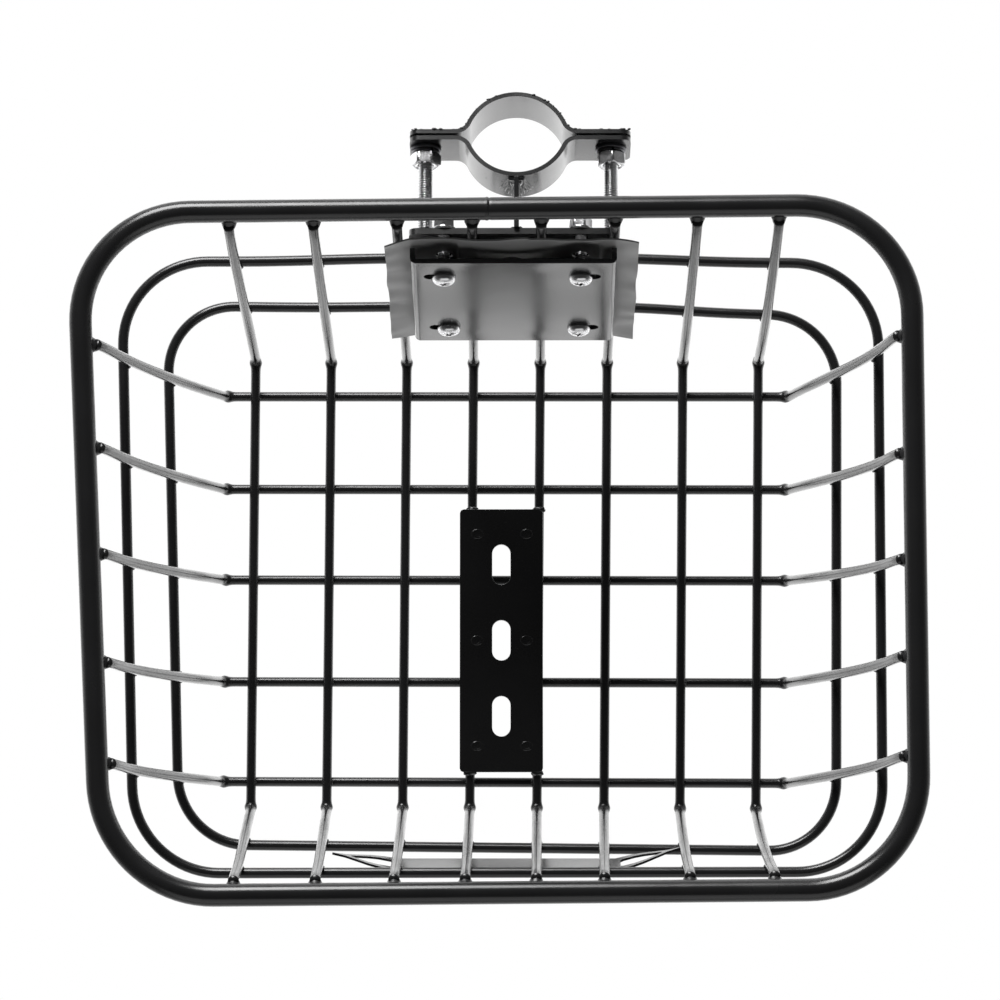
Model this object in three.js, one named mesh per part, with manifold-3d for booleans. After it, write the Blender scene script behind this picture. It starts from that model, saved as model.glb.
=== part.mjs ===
// Wire handlebar basket with a stem clamp, as the separate welded and bolted pieces it is made of.
// Millimetres. Z up, floor at Z = 0, X to the rider's right, +Y towards the bicycle (rear wall).
import * as THREE from "three";
import { mergeVertices } from "three/addons/utils/BufferGeometryUtils.js";
import Module from "manifold-3d";

const wasm = await Module();
wasm.setup();

// ---------------------------------------------------------------- driving dimensions
const GAP = 0.3; // clearance left between pieces that touch or are welded

const RIM = { radius: 4.25, halfX: 160.5, halfY: 133.5, corner: 44, z: 166 };
const WIRE = { radius: 1.9, bend: 4.5, inset: 6.7 };
const RING_RADIUS = 1.9;
const UPPER_RING = { z: 117.7, corner: 34 };
const LOWER_RING = { z: 61.4, corner: 28 };

const CROSS_WIRE = { z: WIRE.radius, foot: 119.5, y: [80, 40.5, 2, -41, -83] };
const LONG_WIRE = {
  z: 3 * WIRE.radius + GAP,
  foot: 95,
  x: [-106.5, -74.5, -42.45, -14.15, 14.15, 42.45, 74.5, 106.5],
};

const STAY = { width: 35, length: 111, thick: 2, x: -1, y: -23.5, chamfer: 2.5 };
const STAY_SLOT = { width: 8, length: 17, pitch: 32, count: 3 };

const FRONT = { x: 2, half: 43.5, height: 31, thick: 1.2, tab: 26.6, angle: 15.5 };

const WALL_Z = 104.5; // height of the middle of the clamp plates on the rear wall
const PLATES_X = 3.8; // the plates and the clamp sit a little to the right of the middle
const CLAMP_X = 1.8; // the stem clamp's middle from the plates' middle
const BRACKET = { width: 80, low: -38, high: 41, thick: 2.5 };
const CHANNEL = { width: 80, low: -45.5, high: 48.5, depth: 6.5, thick: 2 };
const PAD = { width: 100, low: -60, high: 56, thick: 1.5 };
const SCREW = { x: 27, top: 33, bottom: -27, radius: 2.5, hole: 2.9, head: 4.75, length: 30 };

const STRAP = { thick: 1.7, height: 20, bore: 20, offset: 4.2, earBend: 4, left: 42.7, right: 45.7 };
const STRAP_U = 29; // middle of the straps, 2 mm below the bracket's top edge
const STANDOFF = 20.8; // from the bracket's rear face to the strap's crown
const BOLT = { left: 36.4, right: 37.8, radius: 3, hole: 3.4, head: 6.75, headHigh: 3.2, length: 35 };

// ---------------------------------------------------------------- materials
const paint = { color: 0x0b0b0c, roughness: 0.25, metalness: 0 };
const zinc = { color: 0xc9ccd0, roughness: 0.28, metalness: 1 };
const rubber = { color: 0x161616, roughness: 0.6, metalness: 0 };

// ---------------------------------------------------------------- solids and booleans
function solidOf(geometry) {
  const bare = geometry.clone();
  bare.deleteAttribute("normal");
  bare.deleteAttribute("uv");
  const merged = mergeVertices(bare, 1e-4);
  return new wasm.Manifold(
    new wasm.Mesh({
      numProp: 3,
      vertProperties: merged.attributes.position.array,
      triVerts: new Uint32Array(merged.index.array),
    }),
  );
}

function geometryOf(solid) {
  const mesh = solid.getMesh();
  const geometry = new THREE.BufferGeometry();
  geometry.setAttribute("position", new THREE.BufferAttribute(mesh.vertProperties, 3));
  geometry.setIndex(new THREE.BufferAttribute(mesh.triVerts, 1));
  geometry.computeVertexNormals();
  return geometry;
}

function cut(geometry, tools) {
  const left = tools.reduce((solid, tool) => solid.subtract(solidOf(tool)), solidOf(geometry));
  return geometryOf(left);
}

function join(geometries) {
  const [first, ...rest] = geometries.map(solidOf);
  return geometryOf(rest.reduce((solid, next) => solid.add(next), first));
}

// ---------------------------------------------------------------- shared shapes
// A round wire: a polygon whose flats lie at `radius`, swept along a flat path.
// `across` is the unit vector square to the path's plane.
function sweep(path, across, radius, sides, closed = false) {
  const count = path.length;
  const reach = radius / Math.cos(Math.PI / sides);
  const corners = [];
  path.forEach((point, i) => {
    const before = path[closed ? (i - 1 + count) % count : Math.max(i - 1, 0)];
    const after = path[closed ? (i + 1) % count : Math.min(i + 1, count - 1)];
    const into = point.clone().sub(before);
    const out = after.clone().sub(point);
    const first = into.lengthSq() ? into.normalize() : out.clone().normalize();
    const second = out.lengthSq() ? out.normalize() : first;
    const along = first.clone().add(second).normalize();
    const side = new THREE.Vector3().crossVectors(across, along);
    const mitre = 1 / along.dot(first);
    for (let k = 0; k < sides; k += 1) {
      const turn = ((k + 0.5) * 2 * Math.PI) / sides;
      const corner = point.clone();
      corner.addScaledVector(side, reach * mitre * Math.cos(turn));
      corner.addScaledVector(across, reach * Math.sin(turn));
      corners.push(corner.x, corner.y, corner.z);
    }
  });
  const faces = [];
  const spans = closed ? count : count - 1;
  for (let i = 0; i < spans; i += 1) {
    for (let k = 0; k < sides; k += 1) {
      const a = i * sides + k;
      const b = i * sides + ((k + 1) % sides);
      const c = ((i + 1) % count) * sides + k;
      const d = ((i + 1) % count) * sides + ((k + 1) % sides);
      faces.push(a, b, c, b, d, c);
    }
  }
  if (!closed) {
    const last = (count - 1) * sides;
    for (let k = 1; k < sides - 1; k += 1) {
      faces.push(0, k + 1, k);
      faces.push(last, last + k, last + k + 1);
    }
  }
  const geometry = new THREE.BufferGeometry();
  geometry.setAttribute("position", new THREE.Float32BufferAttribute(corners, 3));
  geometry.setIndex(faces);
  geometry.computeVertexNormals();
  return geometry;
}

// Points of an arc about (cx, cy), both ends included.
function arc(cx, cy, radius, from, to, steps) {
  const points = [];
  for (let i = 0; i <= steps; i += 1) {
    const turn = from + ((to - from) * i) / steps;
    points.push([cx + radius * Math.cos(turn), cy + radius * Math.sin(turn)]);
  }
  return points;
}

// A level rectangle with round corners, anticlockwise seen from above.
function roundedLoop(halfX, halfY, corner, z, steps) {
  const quarter = Math.PI / 2;
  const centres = [
    [halfX - corner, halfY - corner],
    [corner - halfX, halfY - corner],
    [corner - halfX, corner - halfY],
    [halfX - corner, corner - halfY],
  ];
  return centres.flatMap(([x, y], i) =>
    arc(x, y, corner, i * quarter, (i + 1) * quarter, steps).map(
      ([px, py]) => new THREE.Vector3(px, py, z),
    ),
  );
}

function box(x0, x1, y0, y1, z0, z1) {
  const geometry = new THREE.BoxGeometry(x1 - x0, y1 - y0, z1 - z0);
  return geometry.translate((x0 + x1) / 2, (y0 + y1) / 2, (z0 + z1) / 2);
}

// A round bar along Y.
function barY(x, z, radius, y0, y1, sides = 16) {
  const geometry = new THREE.CylinderGeometry(radius, radius, y1 - y0, sides);
  return geometry.translate(x, (y0 + y1) / 2, z);
}

function shapeOf(points) {
  return new THREE.Shape(points.map(([x, y]) => new THREE.Vector2(x, y)));
}

// An outline in X and Z made `y1 - y0` thick in Y.
function slabY(points, y0, y1) {
  const geometry = new THREE.ExtrudeGeometry(shapeOf(points), {
    depth: y1 - y0,
    bevelEnabled: false,
  });
  return geometry.rotateX(Math.PI / 2).translate(0, y1, 0);
}

// An outline in X and Y made `z1 - z0` thick in Z.
function slabZ(points, z0, z1) {
  const geometry = new THREE.ExtrudeGeometry(shapeOf(points), {
    depth: z1 - z0,
    bevelEnabled: false,
  });
  return geometry.translate(0, 0, z0);
}

// The outline of a slot with round ends, long in its first direction.
function slotOutline(cx, cy, length, width, steps = 8) {
  const radius = width / 2;
  const run = length / 2 - radius;
  return [
    ...arc(cx + run, cy, radius, -Math.PI / 2, Math.PI / 2, steps),
    ...arc(cx - run, cy, radius, Math.PI / 2, (3 * Math.PI) / 2, steps),
  ];
}

function chamferedOutline(halfX, halfY, chamfer) {
  return [
    [-halfX + chamfer, -halfY],
    [halfX - chamfer, -halfY],
    [halfX, -halfY + chamfer],
    [halfX, halfY - chamfer],
    [halfX - chamfer, halfY],
    [-halfX + chamfer, halfY],
    [-halfX, halfY - chamfer],
    [-halfX, -halfY + chamfer],
  ];
}

// A strip of even thickness along an open path in X and Y.
function ribbonOutline(path, thick) {
  const left = [];
  const right = [];
  path.forEach(([x, y], i) => {
    const [ax, ay] = path[Math.max(i - 1, 0)];
    const [bx, by] = path[Math.min(i + 1, path.length - 1)];
    const length = Math.hypot(bx - ax, by - ay);
    const nx = (-(by - ay) / length) * (thick / 2);
    const ny = ((bx - ax) / length) * (thick / 2);
    left.push([x + nx, y + ny]);
    right.push([x - nx, y - ny]);
  });
  return [...right, ...left.reverse()];
}

// ---------------------------------------------------------------- basket walls
// Horizontal distance of a wall wire's centre from the basket's middle, at height z.
function wallReach(foot, top, floorZ, z) {
  return foot + ((top - foot) * (z - floorZ)) / (RIM.z - floorZ);
}

const sideTop = RIM.halfX - WIRE.inset;
const endTop = RIM.halfY - WIRE.inset;

const reachX = (z) => wallReach(CROSS_WIRE.foot, sideTop, CROSS_WIRE.z, z);
const reachY = (z) => wallReach(LONG_WIRE.foot, endTop, LONG_WIRE.z, z);

const WALL_LEAN = Math.atan((endTop - LONG_WIRE.foot) / (RIM.z - LONG_WIRE.z));

// One U-shaped wire drawn in (out, z): up one wall, across the floor, up the other.
function uWirePath(foot, top, floorZ) {
  const lean = Math.atan2(RIM.z - floorZ, top - foot);
  const tangent = WIRE.bend * Math.tan(lean / 2);
  const half = [
    ...arc(foot - tangent, floorZ + WIRE.bend, WIRE.bend, -Math.PI / 2, lean - Math.PI / 2, 5),
    [top, RIM.z],
  ];
  const mirrored = half.map(([out, z]) => [-out, z]).reverse();
  return [...mirrored, ...half];
}

function makeLongWire(x) {
  const path = uWirePath(LONG_WIRE.foot, endTop, LONG_WIRE.z).map(
    ([out, z]) => new THREE.Vector3(x, out, z),
  );
  return sweep(path, new THREE.Vector3(1, 0, 0), WIRE.radius, 8);
}

function makeCrossWire(y) {
  const path = uWirePath(CROSS_WIRE.foot, sideTop, CROSS_WIRE.z).map(
    ([out, z]) => new THREE.Vector3(out, y, z),
  );
  return sweep(path, new THREE.Vector3(0, -1, 0), WIRE.radius, 8);
}

function makeRim() {
  const path = roundedLoop(RIM.halfX, RIM.halfY, RIM.corner, RIM.z, 8);
  return sweep(path, new THREE.Vector3(0, 0, 1), RIM.radius, 12, true);
}

// The two thin rings run round the outside of the wall wires.
function makeRing({ z, corner }) {
  const outside = WIRE.radius + RING_RADIUS + GAP;
  const halfX = reachX(z) + outside / Math.cos(WALL_LEAN);
  const halfY = reachY(z) + outside / Math.cos(WALL_LEAN);
  const path = roundedLoop(halfX, halfY, corner, z, 6);
  return sweep(path, new THREE.Vector3(0, 0, 1), RING_RADIUS, 8, true);
}

// ---------------------------------------------------------------- slotted stay plate on the floor wires
function makeStayPlate() {
  const bottom = LONG_WIRE.z + WIRE.radius + GAP;
  const outline = chamferedOutline(STAY.width / 2, STAY.length / 2, STAY.chamfer);
  const plate = slabZ(outline, bottom, bottom + STAY.thick);
  const slots = [];
  for (let i = 0; i < STAY_SLOT.count; i += 1) {
    const y = (i - (STAY_SLOT.count - 1) / 2) * STAY_SLOT.pitch;
    const across = slotOutline(y, 0, STAY_SLOT.length, STAY_SLOT.width);
    const along = across.map(([a, b]) => [-b, a]);
    slots.push(slabZ(along, bottom - 1, bottom + STAY.thick + 1));
  }
  return cut(plate, slots).translate(STAY.x, STAY.y, 0);
}

// ---------------------------------------------------------------- rear wall group
// In this group X is along the wall, Y points out of the basket square to it and Z runs up it;
// the origin is on the wall wires' centre line at WALL_Z.
const bracketFront = WIRE.radius + GAP + 2 * RING_RADIUS + GAP;
const bracketRear = bracketFront + BRACKET.thick;
const padRear = -WIRE.radius - GAP;
const padFront = padRear - PAD.thick;
const channelRear = padFront - GAP;
const channelFront = channelRear - CHANNEL.depth;
const screwCorners = [
  [-SCREW.x, SCREW.top],
  [SCREW.x, SCREW.top],
  [-SCREW.x, SCREW.bottom],
  [SCREW.x, SCREW.bottom],
];

function makeBracketPlate() {
  const half = (BRACKET.high - BRACKET.low) / 2;
  const outline = chamferedOutline(BRACKET.width / 2, half, 3).map(([x, u]) => [
    x,
    u + BRACKET.low + half,
  ]);
  const holes = screwCorners.map(([x, u]) =>
    barY(x, u, SCREW.hole, bracketFront - 1, bracketRear + 1),
  );
  return cut(slabY(outline, bracketFront, bracketRear), holes);
}

function makeRubberPad() {
  const half = PAD.width / 2;
  const pad = box(-half, half, padFront, padRear, PAD.low, PAD.high);
  const holes = screwCorners.map(([x, u]) => barY(x, u, 3.6, padFront - 1, padRear + 1));
  holes.push(barY(0, SCREW.top, 4, padFront - 1, padRear + 1));
  return cut(pad, holes);
}

// A pressed channel: its face stands off the pad on two side flanges and has four slots.
function makeInnerChannel() {
  const half = CHANNEL.width / 2 - CHANNEL.thick / 2;
  const face = channelFront + CHANNEL.thick / 2;
  const bend = 2;
  const path = [
    [-half, channelRear],
    ...arc(-half + bend, face + bend, bend, Math.PI, 1.5 * Math.PI, 4),
    ...arc(half - bend, face + bend, bend, 1.5 * Math.PI, 2 * Math.PI, 4),
    [half, channelRear],
  ];
  const channel = slabZ(ribbonOutline(path, CHANNEL.thick), CHANNEL.low, CHANNEL.high);
  const slots = screwCorners.map(([x, u]) =>
    slabY(slotOutline(x * 1.07, u, 14, 5.8), channelFront - 1, channelFront + CHANNEL.thick + 1),
  );
  return cut(channel, slots);
}

// Pan-head machine screw along +Y, its head on the channel's face, with a cross recess.
function makePlateScrew([x, u]) {
  const seat = channelFront - GAP;
  const profile = [
    [0, seat - 3.4],
    [2.2, seat - 3.25],
    [3.8, seat - 2.5],
    [SCREW.head, seat - 1.1],
    [SCREW.head, seat],
    [SCREW.radius, seat],
    [SCREW.radius, seat + SCREW.length - 0.6],
    [SCREW.radius - 0.6, seat + SCREW.length],
    [0, seat + SCREW.length],
  ];
  const body = new THREE.LatheGeometry(
    profile.map(([r, y]) => new THREE.Vector2(r, y)),
    16,
  );
  const recess = [
    box(-2.5, 2.5, seat - 5, seat - 2, -0.55, 0.55),
    box(-0.55, 0.55, seat - 5, seat - 2, -2.5, 2.5),
  ];
  return cut(body, recess).translate(x, 0, u);
}

function ringY(x, u, bore, radius, y0, y1) {
  return cut(barY(x, u, radius, y0, y1, 20), [barY(x, u, bore, y0 - 1, y1 + 1)]);
}

function hexNutY(x, u, bore, flats, y0, y1) {
  const nut = new THREE.CylinderGeometry(flats / Math.sqrt(3), flats / Math.sqrt(3), y1 - y0, 6);
  nut.translate(x, (y0 + y1) / 2, u);
  return cut(nut, [barY(x, u, bore, y0 - 1, y1 + 1)]);
}

function makePlateWasher([x, u]) {
  const y = bracketRear + GAP;
  return ringY(x, u, SCREW.hole, 5, y, y + 1);
}

function makePlateNut([x, u]) {
  const y = bracketRear + 1 + 2 * GAP;
  return hexNutY(x, u, SCREW.radius + GAP + 0.05, 8, y, y + 4);
}

// ---------------------------------------------------------------- stem clamp
const strapMid = STRAP.bore + STRAP.thick / 2;
const crownDepth = strapMid - STRAP.offset; // from an ear's middle line to the crown's
const innerEar = bracketRear + STANDOFF + STRAP.thick / 2 + crownDepth;
const outerEar = innerEar + STRAP.thick + GAP;
const earFace = innerEar - STRAP.thick / 2;
const boltX = [CLAMP_X - BOLT.left, CLAMP_X + BOLT.right];

// One strap's middle line: flat ear, round the shoulder, round the bore, and the same back out.
// `side` is -1 for the strap that bulges towards the basket, 1 for the other.
function strapPath(ear, side) {
  const centre = -STRAP.offset;
  const shoulderX = Math.sqrt(
    (strapMid + STRAP.earBend) ** 2 - (STRAP.offset + STRAP.earBend) ** 2,
  );
  const meet = Math.atan2(STRAP.earBend - centre, shoulderX);
  const half = [
    ...arc(0, centre, strapMid, Math.PI / 2, meet, 10),
    ...arc(shoulderX, STRAP.earBend, STRAP.earBend, meet + Math.PI, 1.5 * Math.PI, 4).slice(1),
  ];
  const mirrored = half.slice(1).map(([x, y]) => [-x, y]).reverse();
  const path = [[-STRAP.left, 0], ...mirrored, ...half, [STRAP.right, 0]];
  return path.map(([x, y]) => [x, ear + side * y]);
}

function makeStrap(ear, side) {
  const path = strapPath(ear, side);
  const outline = ribbonOutline(path, STRAP.thick);
  const low = STRAP_U - STRAP.height / 2;
  const strap = slabZ(outline, low, low + STRAP.height);
  const holes = boltX.map((x) => barY(x, STRAP_U, BOLT.hole, ear - 3, ear + 3));
  return cut(strap.translate(CLAMP_X, 0, 0), holes);
}

// The gusset plate that carries the clamp on the bracket, deeper at the bracket.
function makeBracketWeb() {
  const near = bracketRear + GAP;
  const far = bracketRear + STANDOFF - GAP;
  const top = STRAP_U + STRAP.height / 2;
  const low = STRAP_U - STRAP.height / 2;
  const outline = [
    [near, low - 24],
    [near + 4, low - 24],
    [far, low],
    [far, top],
    [near, top],
  ];
  const web = slabZ(outline, CLAMP_X - 1, CLAMP_X + 1);
  const matrix = new THREE.Matrix4().set(0, 0, 1, 0, 1, 0, 0, 0, 0, 1, 0, 0, 0, 0, 0, 1);
  return web.applyMatrix4(matrix);
}

// Low round-head bolt along Y with its head on the outer strap and its end towards the basket.
function makeClampBolt(x) {
  const seat = outerEar + STRAP.thick / 2 + GAP;
  const end = seat - BOLT.length;
  const profile = [
    [0, end],
    [BOLT.radius - 0.7, end],
    [BOLT.radius, end + 0.7],
    [BOLT.radius, seat],
    [BOLT.head, seat],
    [BOLT.head - 0.4, seat + 0.9],
    [BOLT.head - 2.6, seat + 2.5],
    [0, seat + BOLT.headHigh],
  ];
  const body = new THREE.LatheGeometry(
    profile.map(([r, y]) => new THREE.Vector2(r, y)),
    18,
  );
  return body.translate(x, 0, STRAP_U);
}

function makeClampWasher(x) {
  const y = earFace - GAP;
  return ringY(x, STRAP_U, BOLT.hole, 6.2, y - 1.6, y);
}

// Spring washer: a flat ring with a narrow split.
function makeLockWasher(x) {
  const y = earFace - 1.6 - 2 * GAP;
  const ring = ringY(x, STRAP_U, BOLT.hole, 5.6, y - 1.6, y);
  const split = box(x - 0.5, x + 0.5, y - 3, y + 1, STRAP_U + 2, STRAP_U + 7);
  return cut(ring, [split]);
}

function makeClampNut(x) {
  const y = earFace - 3.2 - 3 * GAP;
  return hexNutY(x, STRAP_U, BOLT.radius + GAP + 0.05, 10, y - 5, y);
}

// ---------------------------------------------------------------- front plate
// Same axes as the rear group, but on the front wall: Y points into the basket.
function tabOutline(top, bottom) {
  const middle = (top + bottom) / 2;
  return [
    [-0.6, bottom],
    [7, bottom + 1.6],
    [16, bottom + 8],
    [FRONT.tab, middle - 0.8],
    [FRONT.tab, middle + 0.8],
    [16, top - 8],
    [7, top - 1.6],
    [-0.6, top],
  ];
}

function tabSlotOutline(top, bottom) {
  const middle = (top + bottom) / 2;
  return [
    [2, middle - 6],
    [3, middle - 7.5],
    [9, middle - 7.5],
    [18.5, middle - 0.7],
    [18.5, middle + 0.7],
    [9, middle + 7.5],
    [3, middle + 7.5],
    [2, middle + 6],
  ];
}

function makeFrontPlate() {
  const ringU = (UPPER_RING.z - WALL_Z) / Math.cos(WALL_LEAN);
  const ringOut = WIRE.radius + 2 * RING_RADIUS + 2 * GAP;
  const top = ringU;
  const tabTop = ringU - RING_RADIUS - 0.7;
  const bottom = top - FRONT.height;
  const y1 = -ringOut;
  const y0 = y1 - FRONT.thick;
  const flat = [
    [-FRONT.half, bottom],
    [FRONT.half, bottom],
    [FRONT.half, tabTop],
    [FRONT.half - 3, top],
    [3 - FRONT.half, top],
    [-FRONT.half, tabTop],
  ];
  const middle = slabY(flat, y0, y1);
  const turn = THREE.MathUtils.degToRad(FRONT.angle);
  const tab = cut(slabY(tabOutline(tabTop, bottom), -FRONT.thick, 0), [
    slabY(tabSlotOutline(tabTop, bottom), -3, 2),
  ]);
  const right = tab.clone().rotateZ(turn).translate(FRONT.half, y1, 0);
  const mirror = new THREE.Matrix4().makeScale(-1, 1, 1);
  const left = right.clone().applyMatrix4(mirror);
  const order = left.index.array;
  for (let i = 0; i < order.length; i += 3) {
    [order[i + 1], order[i + 2]] = [order[i + 2], order[i + 1]];
  }
  return join([middle, right, left]);
}

// ---------------------------------------------------------------- assembly
const group = new THREE.Group();
group.name = "handlebar_basket";

function addPiece(name, geometry, look, place) {
  const mesh = new THREE.Mesh(geometry, new THREE.MeshStandardMaterial(look));
  mesh.name = name;
  if (place) mesh.geometry.applyMatrix4(place);
  group.add(mesh);
}

const rearWall = new THREE.Matrix4()
  .makeTranslation(PLATES_X, reachY(WALL_Z), WALL_Z)
  .multiply(new THREE.Matrix4().makeRotationX(-WALL_LEAN));
const frontWall = new THREE.Matrix4()
  .makeTranslation(FRONT.x, -reachY(WALL_Z), WALL_Z)
  .multiply(new THREE.Matrix4().makeRotationX(WALL_LEAN));

addPiece("rim_tube", makeRim(), paint);
addPiece("upper_ring", makeRing(UPPER_RING), paint);
addPiece("lower_ring", makeRing(LOWER_RING), paint);
LONG_WIRE.x.forEach((x, i) => addPiece(`long_wire_${i + 1}`, makeLongWire(x), paint));
CROSS_WIRE.y.forEach((y, i) => addPiece(`cross_wire_${i + 1}`, makeCrossWire(y), paint));
addPiece("stay_plate", makeStayPlate(), paint);
addPiece("front_plate", makeFrontPlate(), paint, frontWall);

addPiece("bracket_plate", makeBracketPlate(), paint, rearWall);
addPiece("bracket_web", makeBracketWeb(), paint, rearWall);
addPiece("clamp_strap_inner", makeStrap(innerEar, -1), paint, rearWall);
addPiece("clamp_strap_outer", makeStrap(outerEar, 1), paint, rearWall);
addPiece("inner_channel", makeInnerChannel(), paint, rearWall);
addPiece("rubber_pad", makeRubberPad(), rubber, rearWall);

screwCorners.forEach((corner, i) => {
  addPiece(`plate_screw_${i + 1}`, makePlateScrew(corner), zinc, rearWall);
  addPiece(`plate_washer_${i + 1}`, makePlateWasher(corner), zinc, rearWall);
  addPiece(`plate_nut_${i + 1}`, makePlateNut(corner), zinc, rearWall);
});

["left", "right"].forEach((side, i) => {
  const x = boltX[i];
  addPiece(`clamp_bolt_${side}`, makeClampBolt(x), zinc, rearWall);
  addPiece(`clamp_washer_${side}`, makeClampWasher(x), zinc, rearWall);
  addPiece(`clamp_lock_washer_${side}`, makeLockWasher(x), zinc, rearWall);
  addPiece(`clamp_nut_${side}`, makeClampNut(x), zinc, rearWall);
});

// The frame's origin is the middle of the bottom of the whole object's box.
const bounds = new THREE.Box3().setFromObject(group);
const middle = bounds.getCenter(new THREE.Vector3());
group.children.forEach((mesh) => mesh.geometry.translate(-middle.x, -middle.y, -bounds.min.z));

export default group;
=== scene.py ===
"""Looks of a wire handlebar basket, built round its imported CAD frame.

Mesh code works in millimetres. A piece is scaled to metres when it is made.
"""

import math

import bmesh
import bpy
import numpy as np
from mathutils import Matrix, Vector, noise


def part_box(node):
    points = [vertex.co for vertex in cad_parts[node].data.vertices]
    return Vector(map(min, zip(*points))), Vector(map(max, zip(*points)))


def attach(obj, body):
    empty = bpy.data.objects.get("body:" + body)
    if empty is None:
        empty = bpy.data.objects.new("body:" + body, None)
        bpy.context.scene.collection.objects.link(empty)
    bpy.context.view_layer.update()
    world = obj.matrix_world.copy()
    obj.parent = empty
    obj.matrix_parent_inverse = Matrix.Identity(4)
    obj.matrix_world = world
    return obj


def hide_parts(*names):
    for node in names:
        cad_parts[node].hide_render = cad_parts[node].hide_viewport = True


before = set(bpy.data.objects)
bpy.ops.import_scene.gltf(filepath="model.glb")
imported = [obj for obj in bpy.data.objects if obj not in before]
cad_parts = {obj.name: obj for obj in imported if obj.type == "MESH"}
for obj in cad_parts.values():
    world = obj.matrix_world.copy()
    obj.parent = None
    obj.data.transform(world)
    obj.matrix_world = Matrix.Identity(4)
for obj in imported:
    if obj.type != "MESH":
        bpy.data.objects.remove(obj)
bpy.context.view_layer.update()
MM = 0.001

# ---- dimensions, in millimetres
rim_low, rim_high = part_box("rim_tube")
SHIFT_Y = (rim_low.y + rim_high.y) / 2 / MM  # the basket's middle in the shared frame

RIM_RADIUS, RIM_X, RIM_Y, RIM_CORNER, RIM_Z = 4.45, 160.5, 133.5, 44.0, 166.0
WIRE_RADIUS, WIRE_BEND, WIRE_INSET = 2.03, 4.6, 6.4
WIRE_END_Z = RIM_Z - 1.6
LEAN_RUN, LEAN_IN = 14.0, 1.2  # the last stretch of a wire, and how far it is drawn to the rim
BEND_SPREAD, END_FLARE = 1.7, 5.5  # how much of a wire its bend and its weld have changed
WELD_FOOT_Z, WELD_TOP_Z, WELD_RADIUS = RIM_Z - 4.6, RIM_Z - 0.9, 2.05
RING_RADIUS, UPPER_CORNER, LOWER_CORNER = 2.12, 34.0, 28.0
SEAM_X = -2.5  # the rim tube's butt seam
FLOOR_LEVEL = 4.0  # where the two layers of floor wires meet
CROSS_Z, CROSS_FOOT, CROSS_Y = 1.9, 119.5, (80, 40.5, 2, -41, -83)
LONG_Z, LONG_FOOT = 5.7, 95.0
LONG_X = (-106.5, -74.5, -42.45, -14.15, 14.15, 42.45, 74.5, 106.5)
SIDE_TOP, END_TOP = RIM_X - WIRE_INSET, RIM_Y - WIRE_INSET
UPPER_Z, LOWER_Z = 117.7, 61.4
WALL_Z, WALL_Y = 104.5, 114.577
LEAN = math.atan2(31.8, 160.0)
PLATES_X, CLAMP_X = 3.8, 1.8
BRACKET_FRONT, BRACKET_REAR = 6.3, 8.8
BRACKET_HALF_X, BRACKET_HALF_U, BRACKET_CORNER, BRACKET_DROP = 41, 37.4, 3.5, 0.6
CHANNEL_FACE, CHANNEL_REAR = -10.5, -4.0
CHANNEL_HALF, CHANNEL_BEND, CHANNEL_THICK, CHANNEL_SHIFT = 39.8, 1.4, 2.0, 0.6
CHANNEL_LOW, CHANNEL_TOP = -43.4, 48.5
SLOT_LONG, SLOT_WIDE, SLOT_SPREAD = 11.6, 5.6, 1.08
FRONT_HALF, FRONT_HEIGHT, FRONT_CHAMFER, FRONT_THICK = 44.1, 31, 2.6, 0.9
FRONT_BELOW_RING, FRONT_X, FRONT_GAP = 2.4, 1.6, 3.0
TAB_DEGREES = ((1, 15.0), (-1, 10.5))  # how far each end of the front plate is bent back
STAY_X, STAY_Y, STAY_HALF_X, STAY_HALF_Y, STAY_Z, STAY_THICK = -1.0, -24.0, 17.5, 55.5, 8.2, 2.0
STAY_SLOT_STEP, STAY_SLOT_LONG, STAY_SLOT_WIDE = 32, 17, 7.7
SCREW_TURNS, BOLT_TURNS = (0.5, 0.2, 0.9, 0.3), (0.5, 0.12)
SCREW_PLACES = ((-27, 33), (27.3, 33), (-25.9, -27), (27.2, -27))
STRAP_U, EAR_IN, EAR_OUT, STRAP_THICK, CROWN = 29.0, 46.5, 49.2, 1.75, 15.65
STRAP_LOW, STRAP_TOP, STRAP_BORE = -13.2, 10.0, 20
STRAP_MID, STRAP_SHOULDER, STRAP_OFFSET = 20.85, 6.0, 5.0
WEB_HALF, WEB_DEEP = 10, 24
EAR_LEFT, EAR_RIGHT = 42.7, 45.7
BOLT_X = (CLAMP_X - 36.4, CLAMP_X + 37.8)
BOLT_RADIUS, BOLT_PITCH, BOLT_LONG, NUT_FLATS, NUT_BORE = 3.0, 1.0, 40, 10.8, 3.12
SCREW_RADIUS, SCREW_PITCH, SCREW_LONG, SCREW_NUT_FLATS = 2.5, 0.8, 30, 8
PAD_HALF_X, PAD_LOW, PAD_HIGH, PAD_THICK, PAD_STEP = 50.0, -57.5, 56.0, 0.7, 1.0
PAD_DEPTH = -2.85

# The welded basket is a little out of true. For each level, how far its loop has moved in
# X and in Y, as a shift, then what grows with X, with Y, and with both, up to the spans.
SPAN_X, SPAN_Y = 150, 130
DRIFT = (
    (FLOOR_LEVEL, (0.6, -0.1, 1.1, 0.5), (0.0, -0.3, 0.7, 0.3)),
    (LOWER_Z, (0.6, -0.1, -1.4, 2.7), (-2.1, -2.0, 0.4, -0.5)),
    (UPPER_Z, (0.5, 1.9, -1.9, 1.9), (-2.2, -0.1, 0.5, -0.4)),
    (RIM_Z, (0.0, 0.0, -3.3, 2.5), (0.1, 1.4, -0.1, 0.1)),
)
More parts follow.
